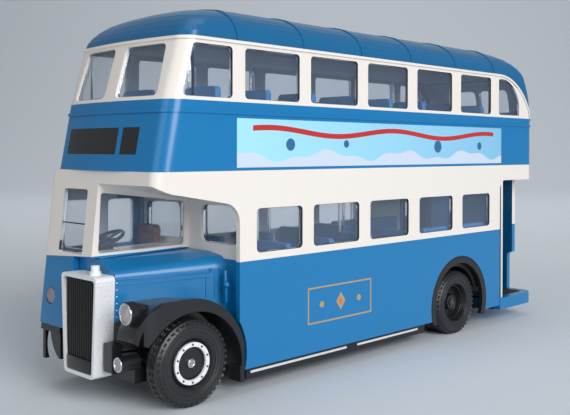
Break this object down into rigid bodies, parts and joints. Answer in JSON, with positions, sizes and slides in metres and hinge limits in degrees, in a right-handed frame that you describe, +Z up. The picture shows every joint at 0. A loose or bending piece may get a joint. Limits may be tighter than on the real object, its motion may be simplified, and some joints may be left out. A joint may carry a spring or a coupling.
{
  "type": "scale model double decker bus",
  "caption": "Die-cast style scale model of a half-cab double decker bus with a tapered radiator, open rear platform, seats on both decks and axles that roll.",
  "frame": {"origin": "centre of the bounding box on the ground plane under the wheels", "axes": "+X to the bus's nearside (its left), -Y to the front, +Z up"},
  "size_m": [0.0446, 0.16, 0.091],
  "materials": {
    "cream_blue_paint": "gloss enamel, blue bands on cream",
    "blue_paint": "gloss enamel",
    "clear": "clear moulded insert",
    "silver": "silver paint",
    "black_plastic": "satin moulding",
    "blue_plastic": "moulded blue",
    "dark_plastic": "moulded dark grey",
    "brown_plastic": "moulded brown",
    "pole": "bright plated",
    "steel": "drawn rod",
    "rubber": "moulded"
  },
  "bodies": {
    "bus": {"upper_front_panel": "cream_blue_paint", "upper_nearside_panel": "cream_blue_paint", "upper_offside_panel": "cream_blue_paint", "upper_rear_panel": "cream_blue_paint", "cab_body": "cream_blue_paint", "canopy": "cream_blue_paint", "bulkhead": "cream_blue_paint", "lower_nearside_panel": "cream_blue_paint", "lower_offside_panel": "cream_blue_paint", "lower_rear_panel": "cream_blue_paint", "roof": "blue_paint", "rear_dome": "blue_paint", "bonnet": "blue_paint", "upper_front_glazing": "clear", "upper_nearside_glazing": "clear", "upper_offside_glazing": "clear", "upper_rear_glazing": "clear", "lower_nearside_glazing": "clear", "lower_offside_glazing": "clear", "bulkhead_glazing": "clear", "rear_light": "clear", "windscreen": "clear", "cab_nearside_glazing": "clear", "cab_offside_glazing": "clear", "radiator": "silver", "nearside_headlamp": "silver", "offside_headlamp": "silver", "fog_lamp": "silver", "grille": "black_plastic", "nearside_wing": "black_plastic", "offside_wing": "black_plastic", "rear_arch_lips": "black_plastic", "chassis": "black_plastic", "steering_wheel": "black_plastic", "upper_floor": "blue_plastic", "upper_seats": "blue_plastic", "lower_floor": "blue_plastic", "lower_seats": "blue_plastic", "saloon_partition": "blue_plastic", "staircase": "blue_plastic", "platform": "blue_plastic", "platform_tread": "dark_plastic", "cab_floor": "dark_plastic", "driver_seat": "brown_plastic", "platform_pole": "pole", "upper_poles": "pole", "lower_poles": "pole"},
    "front_wheelset": {"front_axle": "steel", "front_tyre_nearside": "rubber", "front_hub_nearside": "black_plastic", "front_hub_ring_nearside": "silver", "front_tyre_offside": "rubber", "front_hub_offside": "black_plastic", "front_hub_ring_offside": "silver"},
    "rear_wheelset": {"rear_axle": "steel", "rear_tyres_nearside": "rubber", "rear_hub_nearside": "black_plastic", "rear_tyres_offside": "rubber", "rear_hub_offside": "black_plastic"}
  },
  "joints": [
    {"name": "front_axle_roll", "type": "hinge", "parent": "bus", "child": "front_wheelset", "pos_m": [0, -0.06405, 0.00955], "axis": [1, 0, 0], "continuous": true},
    {"name": "rear_axle_roll", "type": "hinge", "parent": "bus", "child": "rear_wheelset", "pos_m": [0, 0.03565, 0.00955], "axis": [1, 0, 0], "continuous": true}
  ]
}
